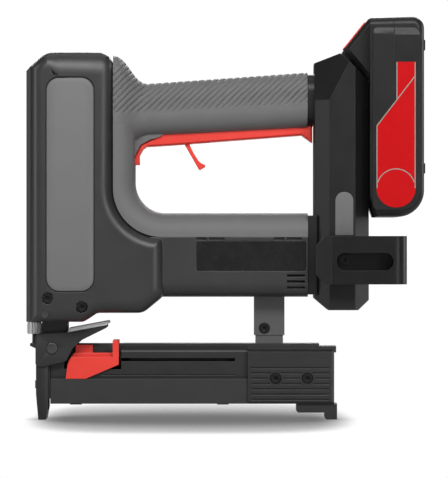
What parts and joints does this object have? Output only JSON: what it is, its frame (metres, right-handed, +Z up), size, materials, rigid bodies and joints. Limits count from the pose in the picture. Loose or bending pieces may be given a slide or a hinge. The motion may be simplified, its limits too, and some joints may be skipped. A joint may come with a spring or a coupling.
{
  "type": "cordless stapler",
  "caption": "Cordless stapler with a closed D-handle, trigger, slide-on battery pack at the rear, belt hook and a staple magazine under a spring-driven nose.",
  "frame": {"origin": "middle of the nose's contact face, where the staple leaves", "axes": "+Z up, away from the work; +X from the nose towards the battery; Y across the tool"},
  "size_m": [0.2403, 0.087, 0.2422],
  "materials": {
    "black_plastic": "fine moulded texture",
    "grey_rubber": "soft matt overmould",
    "panel_grey": "soft matt overmould",
    "black_rubber": "matt",
    "red_plastic": "satin",
    "black_plate": "smooth",
    "black_metal": "black oxide",
    "steel": "bright",
    "alloy": "die cast",
    "cell_sleeve": "shrink sleeve over a steel can",
    "board": "coated laminate",
    "lead_sleeve": "insulated wire"
  },
  "bodies": {
    "frame": {"housing_left": "black_plastic", "housing_right": "black_plastic", "column_left": "black_plastic", "column_right": "black_plastic", "grip_left": "grey_rubber", "grip_right": "grey_rubber", "front_cover": "black_plastic", "side_panels": "panel_grey", "name_plate": "black_plate", "column_inserts": "panel_grey", "case_screws": "steel", "nose_pins": "steel", "trigger_bezel": "red_plastic", "trigger_pin": "steel", "trigger_switch": "black_plastic", "power_leads": "lead_sleeve", "control_board": "board", "terminal_block": "black_plastic", "belt_hook": "black_metal", "nose_block": "black_metal", "magazine_body": "black_metal", "magazine_rail": "steel", "magazine_rear_block": "black_plastic", "magazine_foot": "black_rubber", "magazine_strut": "black_plastic", "strut_bracket": "steel", "staple_strip": "steel", "pusher_spring": "steel", "drive_frame": "alloy", "guide_rod": "steel", "bumper": "black_rubber", "spring_seat": "black_plastic", "main_spring": "steel", "ring_gear": "steel", "gear_case": "black_plastic", "motor_stator": "steel", "motor_bells": "black_plastic", "motor_bearings": "steel"},
    "hammer": {"hammer_carriage": "alloy", "driver_blade": "steel"},
    "lifter": {"planet_carrier": "steel", "lifter_pinion": "steel"},
    "rotor": {"rotor": "steel", "motor_fan": "black_plastic"},
    "trigger": {"trigger": "red_plastic"},
    "switch_plunger": {"switch_plunger": "red_plastic"},
    "battery": {"battery_cover": "black_plastic", "battery_tray": "black_plastic", "battery_cells": "cell_sleeve", "battery_board": "board"},
    "battery_button": {"battery_button": "red_plastic"},
    "pusher": {"pusher": "red_plastic"},
    "contact_foot": {"contact_foot": "black_metal"},
    "depth_wheel": {"depth_wheel": "steel"},
    "release_lever": {"release_lever": "black_metal"},
    "nose_door": {"nose_door": "black_metal"},
    "planet_1": {"planet_1": "steel"},
    "planet_2": {"planet_2": "steel"},
    "planet_3": {"planet_3": "steel"}
  },
  "joints": [
    {"name": "lifter_turn", "type": "hinge", "parent": "frame", "child": "lifter", "pos_m": [0.06, 0, 0.0924], "axis": [1, 0, 0], "range_deg": [0, 95.6]},
    {"name": "hammer_lift", "type": "slide", "parent": "frame", "child": "hammer", "axis": [0, 0, 1], "range_m": [0, 0.02], "deforming": ["main_spring"]},
    {"name": "rotor_spin", "type": "hinge", "parent": "frame", "child": "rotor", "pos_m": [0.12, 0, 0.0924], "axis": [1, 0, 0], "range_deg": [0, 573.5]},
    {"name": "planet_1_spin", "type": "hinge", "parent": "lifter", "child": "planet_1", "pos_m": [0.093, 0, 0.0999], "axis": [1, 0, 0], "range_deg": [-240, 240]},
    {"name": "planet_2_spin", "type": "hinge", "parent": "lifter", "child": "planet_2", "pos_m": [0.093, -0.0065, 0.08865], "axis": [1, 0, 0], "range_deg": [-240, 240]},
    {"name": "planet_3_spin", "type": "hinge", "parent": "lifter", "child": "planet_3", "pos_m": [0.093, 0.0065, 0.08865], "axis": [1, 0, 0], "range_deg": [-240, 240]},
    {"name": "trigger_pull", "type": "hinge", "parent": "frame", "child": "trigger", "pos_m": [0.0816, 0, 0.1698], "axis": [0, -1, 0], "range_deg": [0, 15.1], "stiffness_Nm_per_rad": 0.05, "springref_deg": -17.19},
    {"name": "switch_press", "type": "slide", "parent": "frame", "child": "switch_plunger", "axis": [0, 0, 1], "range_m": [0, 0.00194]},
    {"name": "battery_lift", "type": "slide", "parent": "frame", "child": "battery", "axis": [0, 0, 1], "range_m": [0, 0.12]},
    {"name": "battery_button_press", "type": "slide", "parent": "battery", "child": "battery_button", "axis": [0.904, 0, -0.4275], "range_m": [0, 0.002], "stiffness_N_per_m": 300, "springref_m": -0.004},
    {"name": "pusher_slide", "type": "slide", "parent": "frame", "child": "pusher", "axis": [1, 0, 0], "range_m": [0, 0.07], "stiffness_N_per_m": 60, "springref_m": -0.1, "deforming": ["pusher_spring"]},
    {"name": "contact_press", "type": "slide", "parent": "frame", "child": "contact_foot", "axis": [0, 0, 1], "range_m": [0, 0.005], "stiffness_N_per_m": 1500, "springref_m": -0.012},
    {"name": "depth_turn", "type": "hinge", "parent": "frame", "child": "depth_wheel", "pos_m": [-0.0058, 0, 0.0555], "axis": [0, 0, 1], "range_deg": [-180, 180]},
    {"name": "lever_press", "type": "hinge", "parent": "frame", "child": "release_lever", "pos_m": [0.0054, 0, 0.0432], "axis": [0, 1, 0], "range_deg": [0, 8], "stiffness_Nm_per_rad": 0.3, "springref_deg": -11.46},
    {"name": "door_swing", "type": "hinge", "parent": "frame", "child": "nose_door", "pos_m": [-0.0026, 0, 0.022], "axis": [0, -1, 0], "range_deg": [0, 45]}
  ],
  "couplings": [
    {"joint": "lifter_turn", "follows": "hammer_lift", "rad_per_m": 83.333},
    {"joint": "rotor_spin", "follows": "hammer_lift", "rad_per_m": 500},
    {"joint": "planet_1_spin", "follows": "hammer_lift", "rad_per_m": -208.33},
    {"joint": "planet_2_spin", "follows": "hammer_lift", "rad_per_m": -208.33},
    {"joint": "planet_3_spin", "follows": "hammer_lift", "rad_per_m": -208.33},
    {"joint": "trigger_pull", "follows": "switch_press", "rad_per_m": 135.14}
  ]
}
